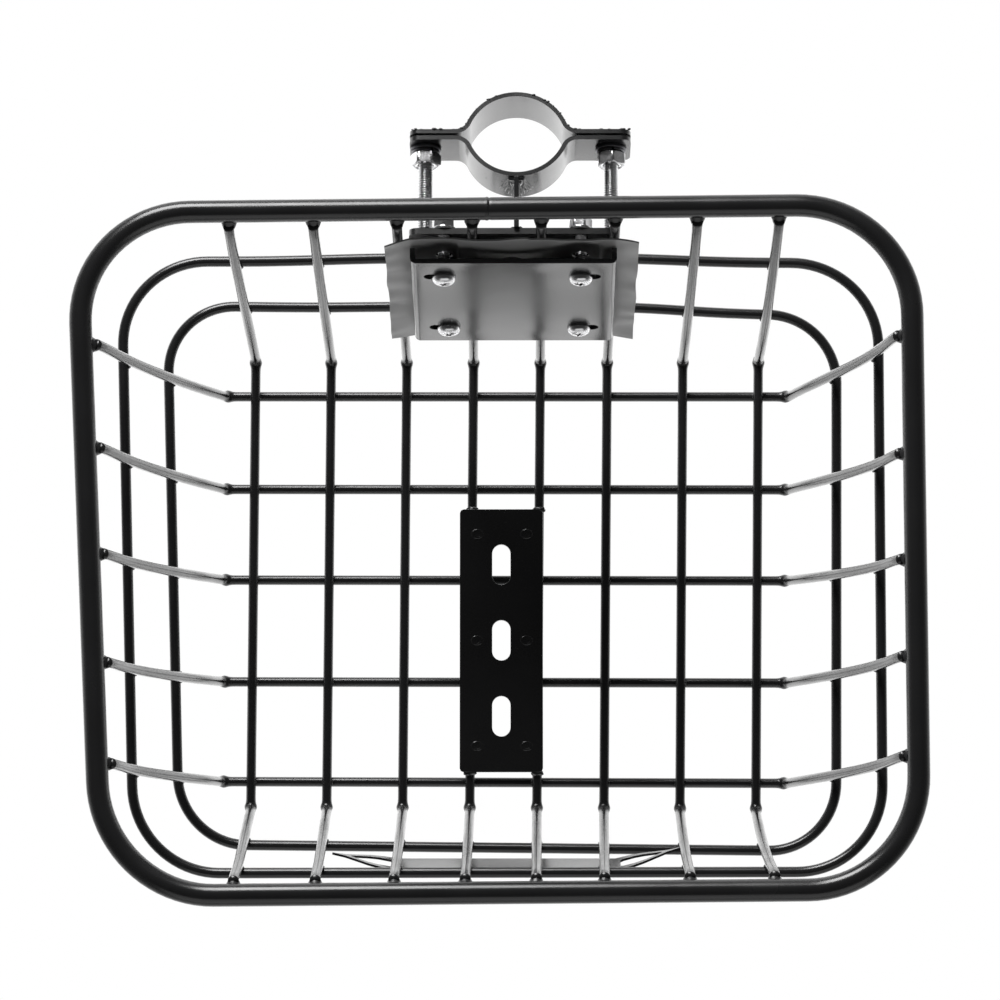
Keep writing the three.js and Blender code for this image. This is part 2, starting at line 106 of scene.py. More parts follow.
# How far along its wall each wire's top has slipped, rear or left walls before front or right.
LONG_SLIP = (
    (-0.6, 0.5, 1.2, 2.4, 1.2, 1.9, 2.0, 2.0),
    (2.8, 2.4, 0.7, -0.1, -0.9, -2.9, -1.9, -1.3),
)
CROSS_SLIP = ((0.2, -0.9, -3.9, -3.2, -0.4), (3.5, -3.3, -6.2, -0.9, 2.5))
WALL_BOW = 1.2  # how far the side walls' wires sag towards the front
HELD_X, HELD_Z = 75, (20, 155)  # the part of the rear wall that the plates hold straight

REAR = Matrix.Translation((PLATES_X, WALL_Y + SHIFT_Y, WALL_Z)) @ Matrix.Rotation(-LEAN, 4, "X")
FRONT = Matrix.Translation((FRONT_X, SHIFT_Y - WALL_Y - FRONT_GAP, WALL_Z))
FRONT = FRONT @ Matrix.Rotation(LEAN, 4, "X")
BASKET = Matrix.Translation((0, SHIFT_Y, 0))
MIRROR_Y = Matrix.Scale(-1, 4, (0, 1, 0))

# ---- camera and lights, in metres
CAMERA_PLACE = (0.00785, (SHIFT_Y - 172.1) * MM, 1.9592)
CAMERA_ROLL, CAMERA_PITCH, CAMERA_LENS = 0.00483, 0.10607, 167.02
LAMP_TARGET = (0, 0, 0.1)
LAMPS = (  # name, place, width, height, watts
    ("rear_softbox", (-0.5, 1.9, 1.15), 1.0, 1.2, 62),
    ("front_panel", (0.2, -2.4, 1.15), 3.2, 1.9, 15.5),
)
HORIZON = ((0.08, 0.25), (0.2, 0.16), (0.35, 0.1), (0.6, 0.05))  # height, grey


# ---- materials
def new_material(name):
    material = bpy.data.materials.new(name)
    material.use_nodes = True
    nodes = material.node_tree.nodes
    return material, nodes, material.node_tree.links, nodes["Principled BSDF"]


def add_noise(nodes, links, scale, detail=3.0, roughness=0.5):
    place = nodes.new("ShaderNodeTexCoord")
    texture = nodes.new("ShaderNodeTexNoise")
    texture.inputs["Scale"].default_value = scale
    texture.inputs["Detail"].default_value = detail
    texture.inputs["Roughness"].default_value = roughness
    links.new(place.outputs["Object"], texture.inputs["Vector"])
    return texture.outputs["Fac"]


def add_range(nodes, links, value, low, high, from_low=0.3, from_high=0.7):
    ramp = nodes.new("ShaderNodeMapRange")
    ramp.inputs["From Min"].default_value = from_low
    ramp.inputs["From Max"].default_value = from_high
    ramp.inputs["To Min"].default_value = low
    ramp.inputs["To Max"].default_value = high
    links.new(value, ramp.inputs["Value"])
    return ramp.outputs["Result"]


def add_bump(nodes, links, heights, shader):
    """heights is a list of (height socket, strength, distance in metres)."""
    normal = None
    for height, strength, distance in heights:
        bump = nodes.new("ShaderNodeBump")
        bump.inputs["Strength"].default_value = strength
        bump.inputs["Distance"].default_value = distance
        links.new(height, bump.inputs["Height"])
        if normal:
            links.new(normal, bump.inputs["Normal"])
        normal = bump.outputs["Normal"]
    links.new(normal, shader.inputs["Normal"])


def add_mix(nodes, links, factor, first, second):
    mix = nodes.new("ShaderNodeMix")
    mix.data_type = "RGBA"
    mix.inputs[6].default_value = (*first, 1)
    mix.inputs[7].default_value = (*second, 1)
    links.new(factor, mix.inputs[0])
    return mix.outputs[2]


def paint_material(name, low, high, peel, specks=0.0, ior=1.5, dark=0.012):
    """Black powder coat: fine orange peel, uneven gloss, a little dust in its colour."""
    material, nodes, links, shader = new_material(name)
    broad = add_noise(nodes, links, 45, 4)
    fine = add_noise(nodes, links, 900, 3)
    pores = add_noise(nodes, links, 2600, 2)
    worn = (dark * 0.7, dark * 0.7, dark * 0.72)
    full = (dark, dark, dark * 1.04)
    links.new(add_mix(nodes, links, broad, worn, full), shader.inputs["Base Color"])
    links.new(add_range(nodes, links, broad, low, high), shader.inputs["Roughness"])
    heights = [(fine, peel, 0.00006), (pores, peel * 0.6, 0.00002 + specks)]
    add_bump(nodes, links, heights, shader)
    shader.inputs["IOR"].default_value = ior
    return material


def zinc_material(name, colour, low, high):
    """Bright zinc plate with faint drawn lines and dull patches."""
    material, nodes, links, shader = new_material(name)
    broad = add_noise(nodes, links, 260, 4)
    fine = add_noise(nodes, links, 3000, 2)
    dull = tuple(c * 0.8 for c in colour)
    links.new(add_mix(nodes, links, broad, dull, colour), shader.inputs["Base Color"])
    links.new(add_range(nodes, links, broad, low, high), shader.inputs["Roughness"])
    add_bump(nodes, links, [(fine, 0.12, 0.00002)], shader)
    shader.inputs["Metallic"].default_value = 1.0
    return material


def rubber_material(name):
    """Thin grey-black rubber sheet: semi-matte, with fine grain and scuffs."""
    material, nodes, links, shader = new_material(name)
    broad = add_noise(nodes, links, 60, 5, 0.6)
    grain = add_noise(nodes, links, 1500, 3)
    crease = add_noise(nodes, links, 180, 4, 0.6)
    links.new(
        add_mix(nodes, links, broad, (0.2, 0.2, 0.2), (0.27, 0.27, 0.27)),
        shader.inputs["Base Color"],
    )
    links.new(add_range(nodes, links, broad, 0.42, 0.54), shader.inputs["Roughness"])
    add_bump(nodes, links, [(crease, 0.2, 0.0002), (grain, 0.2, 0.00004)], shader)
    shader.inputs["IOR"].default_value = 1.5
    return material


PAINT = paint_material("black_paint", 0.2, 0.28, 0.15, dark=0.018)
PLATE_PAINT = paint_material("black_paint_plate", 0.17, 0.24, 0.14, ior=1.6)
CLAMP_PAINT = paint_material("black_paint_clamp", 0.2, 0.27, 0.12, ior=1.95)
WELD_PAINT = paint_material("black_paint_weld", 0.22, 0.34, 0.5, 0.00005, dark=0.03)
ZINC = zinc_material("zinc", (0.74, 0.74, 0.75), 0.16, 0.28)
THREAD_ZINC = zinc_material("zinc_thread", (0.62, 0.62, 0.63), 0.2, 0.32)
# A darker copy of zinc for the clamp washers: its dark base colour is painted shade, standing for
# the dark overhead their rims reflect.
WASHER_ZINC_PAINTED_SHADE = zinc_material("zinc_painted_shade", (0.16, 0.16, 0.17), 0.3, 0.45)
RUBBER = rubber_material("rubber")


# ---- mesh helpers
class Shape:
    """Points in millimetres and faces, joined from several closed forms."""

    def __init__(self):
        self.points = []
        self.faces = []

    def add(self, points, faces):
        start = len(self.points)
        self.points.extend(tuple(map(float, p)) for p in points)
        self.faces.extend(tuple(start + i for i in face) for face in faces)
        return self


def new_object(name, data):
    made = bpy.data.objects.new(name, data)
    bpy.context.scene.collection.objects.link(made)
    return made


def placed_object(name, shape, place):
    """A new object whose mesh is the shape put in its place, in metres, facing out."""
    mesh = bpy.data.meshes.new(name)
    world = Matrix.Scale(MM, 4) @ place
    mesh.from_pydata([world @ Vector(p) for p in shape.points], [], shape.faces)
    mesh.validate()
    work = bmesh.new()
    work.from_mesh(mesh)
    bmesh.ops.recalc_face_normals(work, faces=work.faces)
    work.to_mesh(mesh)
    work.free()
    return new_object(name, mesh)


def shade_smooth(piece):
    piece.data.polygons.foreach_set("use_smooth", [True] * len(piece.data.polygons))


def make_piece(name, shape, place, material, body="basket", replaces=(), bevel=0.0):
    """A finished piece, shaded smooth, with its material and rounded edges if asked."""
    piece = placed_object(name, shape, place)
    shade_smooth(piece)
    piece.data.materials.append(material)
    if bevel:
        round_edges(piece, bevel)
    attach(piece, body)
    if replaces:
        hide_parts(*replaces)
    return piece


def round_edges(piece, width, angle=32):
    modifier = piece.modifiers.new("edges", "BEVEL")
    modifier.width = width * MM
    modifier.segments = 3
    modifier.limit_method = "ANGLE"
    modifier.angle_limit = math.radians(angle)
    modifier.harden_normals = True


def carve(piece, cutters, operation="DIFFERENCE"):
    """Applies boolean tools to a piece before its edges are rounded."""
    for i, (shape, place) in enumerate(cutters):
        tool = placed_object(f"cutter_{i}", shape, place)
        modifier = piece.modifiers.new("carve", "BOOLEAN")
        modifier.operation = operation
        modifier.solver = "EXACT"
        modifier.object = tool
        piece.modifiers.move(len(piece.modifiers) - 1, 0)
        apply_modifier(piece, modifier)
        bpy.data.objects.remove(tool)


def apply_modifier(piece, modifier):
    """Bakes one modifier into a piece's mesh and leaves its other modifiers live."""
    others = [m for m in piece.modifiers if m != modifier]
    shown = [m.show_viewport for m in others]
    for m in others:
        m.show_viewport = False
    bpy.context.view_layer.update()
    graph = bpy.context.evaluated_depsgraph_get()
    made = bpy.data.meshes.new_from_object(piece.evaluated_get(graph))
    old = piece.data
    piece.data = made
    piece.modifiers.remove(modifier)
    for m, state in zip(others, shown):
        m.show_viewport = state
    bpy.data.meshes.remove(old)
    shade_smooth(piece)


def arc(cx, cy, radius, start, end, steps):
    turns = np.linspace(start, end, steps + 1)
    return [(cx + radius * math.cos(t), cy + radius * math.sin(t)) for t in turns]


def divided(points, spacing):
    """The same path with points added along its straight parts, about spacing apart."""
    made = [points[0]]
    for a, b in zip(points, points[1:]):
        length = math.dist(a, b)
        count = max(1, int(length / spacing))
        for i in range(1, count + 1):
            made.append(tuple(np.array(a) + (np.array(b) - np.array(a)) * i / count))
    return made


def sweep(shape, path, across, radius, sides=24, closed=False, scales=None):
    """Adds a tube along a flat path. scales holds (in plane, across) for each point."""
    path = np.array(path, float)
    across = np.array(across, float)
    count = len(path)
    before = np.roll(path, 1, axis=0)
    after = np.roll(path, -1, axis=0)
    if not closed:
        before[0], after[-1] = path[0], path[-1]
    into, out = path - before, after - path
    if not closed:
        into[0], out[-1] = out[0], into[-1]
    into /= np.linalg.norm(into, axis=1)[:, None]
    out /= np.linalg.norm(out, axis=1)[:, None]
    along = into + out
    along /= np.linalg.norm(along, axis=1)[:, None]
    side = np.cross(np.broadcast_to(across, along.shape), along)
    side /= np.linalg.norm(side, axis=1)[:, None]
    across = np.cross(along, side)
    mitre = 1 / np.maximum((along * into).sum(1), 0.5)
    scales = np.ones((count, 2)) if scales is None else np.array(scales, float)
    turns = np.arange(sides) * 2 * math.pi / sides
    cosines, sines = np.cos(turns)[None, :, None], np.sin(turns)[None, :, None]
    in_plane = side[:, None] * (radius * mitre * scales[:, 0])[:, None, None]
    crosswise = across[:, None] * (radius * scales[:, 1])[:, None, None]
    points = path[:, None] + in_plane * cosines + crosswise * sines
    faces = []
    spans = count if closed else count - 1
    for i in range(spans):
        j = (i + 1) % count
        for k in range(sides):
            m = (k + 1) % sides
            faces.append((i * sides + k, i * sides + m, j * sides + m, j * sides + k))
    if not closed:
        faces.append(tuple(range(sides)))
        faces.append(tuple((count - 1) * sides + k for k in range(sides)))
    return shape.add(points.reshape(-1, 3), faces)


def lathe(shape, profile, place=None, sides=48, radius_of=None):
    """Adds a form turned about Y from (radius, y) points; radius_of may shape each ring."""
    place = place or Matrix.Identity(4)
    points, rings = [], []
    for r, y in profile:
        if r <= 1e-6:
            rings.append([len(points)])
            points.append(place @ Vector((0, y, 0)))
            continue
        ring = []
        for k in range(sides):
            turn = 2 * math.pi * k / sides
            reach = radius_of(r, y, turn) if radius_of else r
            ring.append(len(points))
            points.append(place @ Vector((reach * math.cos(turn), y, reach * math.sin(turn))))
        rings.append(ring)
    faces = []
    closed = profile[0] == profile[-1] and profile[0][0] > 1e-6
    if closed:
        del points[-len(rings.pop()) :]
    pairs = list(zip(rings, rings[1:] + rings[:1])) if closed else list(zip(rings, rings[1:]))
    for a, b in pairs:
        for k in range(sides):
            m = (k + 1) % sides
            if len(a) == 1 and len(b) == 1:
                continue
            if len(a) == 1:
                faces.append((a[0], b[k], b[m]))
            elif len(b) == 1:
                faces.append((a[k], a[m], b[0]))
            else:
                faces.append((a[k], a[m], b[m], b[k]))
    return shape.add(points, faces)


def slab(shape, outline, low, high, plane="xz"):
    """Adds an outline made thick: in Y for plane xz, in Z for xy, in X for yz."""
    count = len(outline)
    if plane == "xz":
        points = [(a, low, b) for a, b in outline] + [(a, high, b) for a, b in outline]
    elif plane == "xy":
        points = [(a, b, low) for a, b in outline] + [(a, b, high) for a, b in outline]
    else:
        points = [(low, a, b) for a, b in outline] + [(high, a, b) for a, b in outline]
    faces = [tuple(range(count)), tuple(range(2 * count - 1, count - 1, -1))]
    for i in range(count):
        j = (i + 1) % count
        faces.append((i, count + i, count + j, j))
    return shape.add(points, faces)


def ribbon(path, thick):
    """The outline of a strip of even thickness along a path."""
    path = np.array(path, float)
    before = np.vstack([path[:1], path[:-1]])
    after = np.vstack([path[1:], path[-1:]])
    along = after - before
    along /= np.linalg.norm(along, axis=1)[:, None]
    normal = np.stack([-along[:, 1], along[:, 0]], axis=1) * thick / 2
    return [tuple(p) for p in path - normal] + [tuple(p) for p in (path + normal)[::-1]]


def rounded_box_outline(half_x, half_y, corner, steps=6):
    """A rectangle with round corners, from its half sizes."""
    quarter = math.pi / 2
    centres = (
        (half_x - corner, half_y - corner),
        (corner - half_x, half_y - corner),
        (corner - half_x, corner - half_y),
        (half_x - corner, corner - half_y),
    )
    return [
        p
        for i, (x, y) in enumerate(centres)
        for p in arc(x, y, corner, i * quarter, (i + 1) * quarter, steps)
    ]


def round_hole(x, u, radius, steps, near, far):
    """A round cutter along Y, with the place it stands in."""
    outline = arc(x, u, radius, 0, 2 * math.pi, steps)[:-1]
    return slab(Shape(), outline, near, far), REAR


def slot_outline(cx, cy, length, width, steps=14, upright=False):
    """A round-ended slot, long in X, or in Y if upright."""
    radius, run = width / 2, (length - width) / 2
    outline = arc(run, 0, radius, -math.pi / 2, math.pi / 2, steps)
    outline += arc(-run, 0, radius, math.pi / 2, 1.5 * math.pi, steps)
    if upright:
        outline = [(-b, a) for a, b in outline]
    return [(cx + a, cy + b) for a, b in outline]


def ball(subdivisions):
    work = bmesh.new()
    bmesh.ops.create_icosphere(work, subdivisions=subdivisions, radius=1.0)
    points = [v.co.copy() for v in work.verts]
    faces = [tuple(v.index for v in f.verts) for f in work.faces]
    work.free()
    return points, faces


BALL = ball(3)


def lump(shape, centre, sizes, seed, rough=0.16, turn=None):
    """Adds a hand-laid weld lump: an uneven ellipsoid with three half-sizes."""
    points, faces = BALL
    turn = turn or Matrix.Identity(3)
    centre, offset = Vector(centre), Vector((seed * 1.7, seed * 0.9, seed * 2.3))
    made = []
    for p in points:
        broad, fine = noise.noise(p * 1.6 + offset), noise.noise(p * 4 + offset)
        swell = 1 + rough * broad + 0.4 * rough * fine
        q = Vector((p.x * sizes[0], p.y * sizes[1], p.z * sizes[2])) * swell
        made.append(centre + turn @ q)
    return shape.add(made, faces)


# ---- basket wires
def drift(x, y, z):
    """How far a place on the basket has moved in X and Y from where it was drawn."""
    across, along = x / SPAN_X, y / SPAN_Y
    moved = [0.0, 0.0]
    for i, (level, *ways) in enumerate(DRIFT):
        share = 1.0
        for j, (other, *_) in enumerate(DRIFT):
            if i != j:
                share *= (z - other) / (level - other)
        for k, (shift, by_x, by_y, by_both) in enumerate(ways):
            moved[k] += share * (shift + by_x * across + by_y * along + by_both * across * along)
    if y > 0 and HELD_Z[0] < z < HELD_Z[1]:
        moved[1] *= 1 - math.exp(-((x / HELD_X) ** 4))
    return moved


def wall_reach(foot, top, floor_z, z):
    """How far out a straight wall stands at a height, from its foot and its top."""
    return foot + (top - foot) * (z - floor_z) / (RIM_Z - floor_z)


def u_wire(foot, top, floor_z, end_z=WIRE_END_Z):
    """(out, z) points of one U-shaped wire, and its section's scales at bends and ends."""
    lean = math.atan2(RIM_Z - floor_z, top - foot)
    tangent = WIRE_BEND * math.tan(lean / 2)
    bend = arc(foot - tangent, floor_z + WIRE_BEND, WIRE_BEND, -math.pi / 2, lean - math.pi / 2, 14)
    last = (wall_reach(foot, top, floor_z, end_z), end_z)
    rise = (bend[-1][0] + 5 * math.cos(lean), bend[-1][1] + 5 * math.sin(lean))
    shoulder = (wall_reach(foot, top, floor_z, end_z - 7), end_z - 7)
    half = divided([(0.0, floor_z), (bend[0][0] - 5, floor_z)], 6)
    half += divided([half[-1], bend[0]], 1)[1:] + bend[1:]
    half += divided([bend[-1], rise], 1)[1:] + divided([rise, shoulder], 8)[1:]
    half += divided([shoulder, last], 1)[1:]
    middle = bend[6]
    scales = []
    for point in half:
        near = math.exp(-((math.dist(point, middle) / BEND_SPREAD) ** 2))
        flare = max(0.0, 1 - (end_z - point[1]) / END_FLARE) ** 1.5
        scales.append((1 - 0.05 * near - 0.1 * flare, 1 + 0.3 * near + 0.06 * flare))
    path = [(-o, z) for o, z in half[:0:-1]] + half
    return path, scales[:0:-1] + scales


def slipped(place, z, slip, foot_shift, bow=0.0):
    """Where a wall wire runs at a height, between its foot's shift and its top's slip."""
    rise = max(0.0, (z - FLOOR_LEVEL) / (RIM_Z - FLOOR_LEVEL))
    return place + foot_shift + (slip - foot_shift) * rise - bow * 4 * rise * max(0.0, 1 - rise)


def long_wire_place(i, x, out, z):
    """Where a point of long wire i, drawn at (x, out, z), lies on the real basket."""
    side = 0 if out > 0 else 1
    if abs(out) < LONG_FOOT:
        shift = drift(x, out, FLOOR_LEVEL)
        return x + shift[0], out + shift[1], z
    edge = drift(x, math.copysign(LONG_FOOT, out), FLOOR_LEVEL)[0]
    return slipped(x, z, LONG_SLIP[side][i], edge), out + drift(x, out, z)[1], z


def cross_wire_place(i, y, out, z):
    """Where a point of cross wire i, drawn at (out, y, z), lies on the real basket."""
    side = 0 if out < 0 else 1
    if abs(out) < CROSS_FOOT:
        shift = drift(out, y, FLOOR_LEVEL)
        return out + shift[0], y + shift[1], z
    edge = drift(math.copysign(CROSS_FOOT, out), y, FLOOR_LEVEL)[1]
    return out + drift(out, y, z)[0], slipped(y, z, CROSS_SLIP[side][i], edge, WALL_BOW), z


def leaned(path):
    """A wire's path with its last stretch drawn in against the rim."""
    bent = []
    for out, z in path:
        t = max(0.0, (z - RIM_Z + LEAN_RUN) / LEAN_RUN)
        bent.append((out + math.copysign(LEAN_IN * t * t, out), z))
    return bent


def make_wires(kind, stations, place_of, sizes, across):
    """One U-shaped wire at each station; sizes holds its foot, its top and its floor height."""
    flat, scales = u_wire(*sizes)
    for i, station in enumerate(stations):
        path = [place_of(i, station, out, z) for out, z in leaned(flat)]
        shape = sweep(Shape(), path, across, WIRE_RADIUS, scales=scales)
        name = f"{kind}_wire_{i + 1}"
        make_piece(f"{name}_round", shape, BASKET, PAINT, replaces=[name])


def loop_path(half_x, half_y, corner, z, seam=None):
    """A level rounded rectangle, drifted; seam adds close points round an X at its rear."""
    flat = rounded_box_outline(half_x, half_y, corner, 20)
    path = []
    for (ax, ay), (bx, by) in zip(flat, flat[1:] + flat[:1]):
        count = max(1, int(math.dist((ax, ay), (bx, by)) / 8))
        for i in range(count):
            path.append((ax + (bx - ax) * i / count, ay + (by - ay) * i / count))
    if seam is not None:
        path = [p for p in path if p[1] < 0 or abs(p[0] - seam) > 2.5]
        at_seam = next(i for i, p in enumerate(path) if p[1] > half_y - 1 and p[0] < seam)
        path[at_seam:at_seam] = [(seam - step, half_y) for step in np.arange(-2.4, 2.41, 0.15)]
    return [(x + drift(x, y, z)[0], y + drift(x, y, z)[1], z) for x, y in path]


def make_rim():
    path = loop_path(RIM_X, RIM_Y, RIM_CORNER, RIM_Z, SEAM_X)
    seam_at = SEAM_X + drift(SEAM_X, RIM_Y, RIM_Z)[0]
    scales = []
    for x, y, z in path:
        off = x - seam_at
        bead = 0.045 * math.exp(-((off / 0.45) ** 2)) - 0.03 * math.exp(-(((off - 1.0) / 0.4) ** 2))
        scales.append((1 + bead, 1 + bead) if y > 0 else (1, 1))
    shape = sweep(Shape(), path, (0, 0, 1), RIM_RADIUS, 40, True, scales)
    make_piece("rim_tube_round", shape, BASKET, PAINT, replaces=["rim_tube"])


def ring_half(z):
    """Half the width and half the depth of a hoop that lies outside the wires at a height."""
    outside = WIRE_RADIUS + RING_RADIUS
    x = wall_reach(CROSS_FOOT, SIDE_TOP, CROSS_Z, z) + outside / math.cos(LEAN)
    y = wall_reach(LONG_FOOT, END_TOP, LONG_Z, z) + outside / math.cos(LEAN)
    return x, y


def make_ring(name, z, corner):
    half_x, half_y = ring_half(z)
    path = loop_path(half_x, half_y, corner, z)
    shape = sweep(Shape(), path, (0, 0, 1), RING_RADIUS, 28, True)
    make_piece(f"{name}_round", shape, BASKET, PAINT, replaces=[name])


# ---- welds
def make_floor_welds():
    shape = Shape()
    seed = 0
    for x in LONG_X:
        for y in CROSS_Y:
            seed += 1
            shift = drift(x, y, FLOOR_LEVEL)
            lump(shape, (x + shift[0], y + shift[1], 3.8), (2.3, 2.3, 1.1), seed, 0.22)
    make_piece("floor_welds", shape, BASKET, WELD_PAINT)


def make_ring_welds():
    """Where each wire crosses a hoop: a lump between the two, turned along the wall."""
    shape = Shape()
    seed = 100
    for z in (UPPER_Z, LOWER_Z):
        for i, x in enumerate(LONG_X):
            for side in (-1, 1):
                seed += 1
                out = side * wall_reach(LONG_FOOT, END_TOP, LONG_Z, z)
                px, py, _ = long_wire_place(i, x, out, z)
                turn = Matrix.Rotation(-side * LEAN, 3, "X")
                lump(shape, (px, py + side * 2.0, z), (2.3, 1.0, 2.1), seed, 0.2, turn)
        for i, y in enumerate(CROSS_Y):
            for side in (-1, 1):
                seed += 1
                out = side * wall_reach(CROSS_FOOT, SIDE_TOP, CROSS_Z, z)
                px, py, _ = cross_wire_place(i, y, out, z)
                turn = Matrix.Rotation(side * LEAN, 3, "Y")
                lump(shape, (px + side * 2.0, py, z), (1.0, 2.3, 2.1), seed, 0.2, turn)
    make_piece("ring_welds", shape, BASKET, WELD_PAINT)


def weld_cone(shape, start, end, wide_way, seed):
    """A rough weld that flares from a wire's end out to the rim, wider along the rim."""
    start, end = Vector(start), Vector(end)
    path, scales = [], []
    for i in range(13):
        t = i / 12
        path.append(tuple(start.lerp(end, t)))
        scales.append((0.9 + 0.6 * t, 0.9 + 1.45 * t))
    cone = Shape()
    sweep(cone, path, wide_way, WELD_RADIUS, 20, False, scales)
    offset = Vector((seed * 1.3, seed * 0.7, seed * 2.1))
    middle, way = (start + end) / 2, end - start
    points = []
    for p in cone.points:
        p = Vector(p)
        near_rim = min(1.0, max(0.0, (p - start).dot(way) / way.length_squared))
        push = 0.2 * noise.noise(p * 0.5 + offset) + 0.12 * noise.noise(p * 1.4 + offset)
        points.append(middle + (p - middle) * (1 + push * near_rim))
    return shape.add(points, cone.faces)


def make_rim_welds():
    """Where each wire's end has melted into the rim."""
    shape = Shape()
    seed = 300
    for side in (1, -1):
        for i, x in enumerate(LONG_X):
            seed += 3
            low = long_wire_place(i, x, side * (END_TOP - 0.3), WELD_FOOT_Z)
            px, py, _ = long_wire_place(i, x, side * END_TOP, RIM_Z)
            weld_cone(shape, low, (px, py + side * WIRE_INSET, WELD_TOP_Z), (1, 0, 0), seed)
    for side in (-1, 1):
        for i, y in enumerate(CROSS_Y):
            seed += 3
            low = cross_wire_place(i, y, side * (SIDE_TOP - 0.3), WELD_FOOT_Z)
            px, py, _ = cross_wire_place(i, y, side * SIDE_TOP, RIM_Z)
            weld_cone(shape, low, (px + side * WIRE_INSET, py, WELD_TOP_Z), (0, -1, 0), seed)
    make_piece("rim_welds", shape, BASKET, WELD_PAINT)


# ---- floor plate
def make_stay_plate():
    outline = rounded_box_outline(STAY_HALF_X, STAY_HALF_Y, 1.6, 2)
    outline = [(STAY_X + a, STAY_Y + b) for a, b in outline]
    shape = slab(Shape(), outline, STAY_Z - 0.3, STAY_Z + STAY_THICK, "xy")
    plate = make_piece(
        "stay_plate_rounded", shape, BASKET, PLATE_PAINT, replaces=["stay_plate"], bevel=0.45
    )
    cutters = []
    for k in (-1, 0, 1):
        middle = STAY_Y + STAY_SLOT_STEP * k
        hole = slot_outline(STAY_X, middle, STAY_SLOT_LONG, STAY_SLOT_WIDE, upright=True)
        cutters.append((slab(Shape(), hole, 0, 20, "xy"), BASKET))
    carve(plate, cutters)


def make_stay_welds():
    """Six shallow ring-shaped marks left by the electrodes, and fillets at the plate's ends."""
    marks = Shape()
    seed = 500
    profile = [(0, -0.6), (0, 0.04), (0.9, 0.02), (1.6, 0.1), (2.1, 0.34), (2.6, 0.12), (2.9, -0.6)]
    for x in (-10.2, 10.6):
        for y in (-44.5, 0, 45):
            place = Matrix.Translation((STAY_X + x, STAY_Y + y, STAY_Z + STAY_THICK))
            place = place @ Matrix.Diagonal((1.0, 0.8, 1.0, 1.0))
            lathe(marks, profile, place @ Matrix.Rotation(math.pi / 2, 4, "X"), 28)
    make_piece("stay_plate_weld_marks", marks, BASKET, PLATE_PAINT)
    fillets = Shape()
    for x in (-14.15, 14.15):
        for side in (-1, 1):
            seed += 1
            shift = drift(x, STAY_Y + side * STAY_HALF_Y, FLOOR_LEVEL)[0]
            y = STAY_Y + side * (STAY_HALF_Y + 0.1)
            lump(fillets, (x + shift, y, STAY_Z - 0.4), (2.7, 1.3, 1.3), seed, 0.3)
    make_piece("stay_plate_fillets", fillets, BASKET, WELD_PAINT)


# ---- plates on the walls
def make_bracket_plate():
    outline = rounded_box_outline(BRACKET_HALF_X, BRACKET_HALF_U, BRACKET_CORNER, 6)
    outline = [(a, b - BRACKET_DROP) for a, b in outline]
    shape = slab(Shape(), outline, BRACKET_FRONT, BRACKET_REAR)
    plate = make_piece(
        "bracket_plate_rounded", shape, REAR, CLAMP_PAINT, replaces=["bracket_plate"], bevel=1.2
    )
    carve(plate, [round_hole(x, u, 3.0, 24, 0, 12) for x, u in SCREW_PLACES])


def make_inner_channel():
    half, face, bend = CHANNEL_HALF, CHANNEL_FACE + CHANNEL_THICK / 2, CHANNEL_BEND
    path = divided([(-half, CHANNEL_REAR), (-half, face + bend)], 3)
    path += arc(-half + bend, face + bend, bend, math.pi, 1.5 * math.pi, 8)[1:]
    path += [(half - bend, face)]
    path += arc(half - bend, face + bend, bend, 1.5 * math.pi, 2 * math.pi, 8)[1:]
    path += [(half, CHANNEL_REAR)]
    outline = [(a + CHANNEL_SHIFT, b) for a, b in ribbon(path, CHANNEL_THICK)]
    shape = slab(Shape(), outline, CHANNEL_LOW, CHANNEL_TOP, "xy")
    channel = make_piece(
        "inner_channel_pressed", shape, REAR, PLATE_PAINT, replaces=["inner_channel"], bevel=0.3
    )
    cutters = []
    for x, u in SCREW_PLACES:
        slot = slot_outline(x * SLOT_SPREAD, u, SLOT_LONG, SLOT_WIDE)
        cutters.append((slab(Shape(), slot, -14, -6), REAR))
    carve(channel, cutters)


def make_front_plate():
    top = (UPPER_Z - WALL_Z) / math.cos(LEAN) - FRONT_BELOW_RING
    tab_top, bottom = top - FRONT_CHAMFER, top - FRONT_HEIGHT
    middle = (tab_top + bottom) / 2
    near = -(WIRE_RADIUS + RING_RADIUS)
    half, flat_top = FRONT_HALF, FRONT_HALF - 3.6
    flat = [
        (-half, bottom), (half, bottom), (half, tab_top),
        (flat_top, top), (-flat_top, top), (-half, tab_top),
    ]
    shape = slab(Shape(), flat, near - FRONT_THICK, near)
    plate = make_piece(
        "front_plate_bent", shape, FRONT, PLATE_PAINT, replaces=["front_plate"], bevel=0.25
    )
    rise = [(0, 0.0), (7, 1.2), (12, 3.8), (17, 8.2), (22, 12.4), (26.2, 13.6)]
    tab = [(s - 0.6, bottom + h) for s, h in rise]
    tab += [(26.7, middle)]
    tab += [(s - 0.6, tab_top - h) for s, h in reversed(rise)]
    hole = [(2, -6.5), (3.2, -7.8), (8, -8.0), (12, -6.2), (19, -0.8), (19, 0.8)]
    hole += [(12, 6.2), (8, 8.0), (3.2, 7.8), (2, 6.5)]
    hole = [(s, middle + h) for s, h in hole]
    for side, degrees in TAB_DEGREES:
        fold = Matrix.Translation((FRONT_HALF - 0.6, near, 0))
        fold = fold @ Matrix.Rotation(math.radians(degrees), 4, "Z")
        hinge = FRONT @ Matrix.Scale(side, 4, (1, 0, 0)) @ fold
        carve(plate, [(slab(Shape(), tab, -FRONT_THICK, 0), hinge)], "UNION")
        carve(plate, [(slab(Shape(), hole, -4, 3), hinge)])


